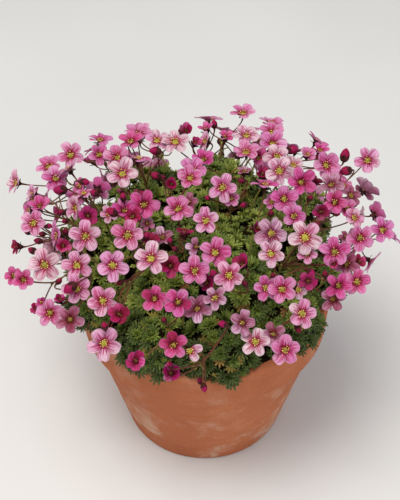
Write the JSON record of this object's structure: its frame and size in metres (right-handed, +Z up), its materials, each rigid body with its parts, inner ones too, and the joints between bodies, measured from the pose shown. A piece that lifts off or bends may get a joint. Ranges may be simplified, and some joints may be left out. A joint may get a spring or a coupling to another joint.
{
  "type": "potted mossy saxifrage",
  "caption": "Low cushion of fingered leaf rosettes in a plain clay pot, under a dome of small pink flowers and crimson buds on thin branched stems.",
  "frame": {"origin": "centre of the pot's flat underside", "axes": "+Z up through the pot's axis; -Y towards the viewer of the picture; +X to the right of the picture"},
  "size_m": [0.2332, 0.2102, 0.1872],
  "materials": {
    "clay": "matte",
    "compost": "matte",
    "bark": "matte",
    "leaf": "satin",
    "petal": "matte",
    "stem": "matte",
    "sepal": "matte",
    "flower_centre": "matte"
  },
  "bodies": {
    "root": {"crown": "bark", "flower_stem_01": "petal", "flower_stem_02": "petal", "flower_stem_03": "petal", "flower_stem_04": "petal", "flower_stem_05": "petal", "flower_stem_06": "petal", "flower_stem_07": "petal", "flower_stem_08": "petal", "flower_stem_09": "petal", "flower_stem_10": "petal", "flower_stem_11": "petal", "flower_stem_12": "petal", "flower_stem_13": "petal", "flower_stem_14": "petal", "flower_stem_15": "petal", "flower_stem_16": "petal", "flower_stem_17": "petal", "flower_stem_18": "petal", "flower_stem_19": "petal", "flower_stem_20": "petal", "flower_stem_21": "petal", "flower_stem_22": "petal", "flower_stem_23": "petal", "flower_stem_24": "petal", "flower_stem_25": "petal", "flower_stem_26": "petal", "flower_stem_27": "petal", "flower_stem_28": "petal", "flower_stem_29": "petal", "flower_stem_30": "petal", "flower_stem_31": "petal", "flower_stem_32": "petal", "flower_stem_33": "petal", "flower_stem_34": "petal", "flower_stem_35": "petal", "flower_stem_36": "petal", "flower_stem_37": "petal", "flower_stem_38": "petal", "flower_stem_39": "petal", "flower_stem_40": "petal", "flower_stem_41": "petal", "flower_stem_42": "petal", "leaf_clump_01": "leaf", "leaf_clump_02": "leaf", "leaf_clump_03": "leaf", "leaf_clump_04": "leaf", "leaf_clump_05": "leaf", "leaf_clump_06": "leaf", "leaf_clump_07": "leaf", "leaf_clump_08": "leaf", "leaf_clump_09": "leaf", "leaf_clump_10": "leaf", "leaf_clump_11": "leaf", "leaf_clump_12": "leaf", "leaf_clump_13": "leaf", "leaf_clump_14": "leaf", "leaf_clump_15": "leaf", "pot": "clay", "potting_soil": "compost"}
  },
  "joints": []
}
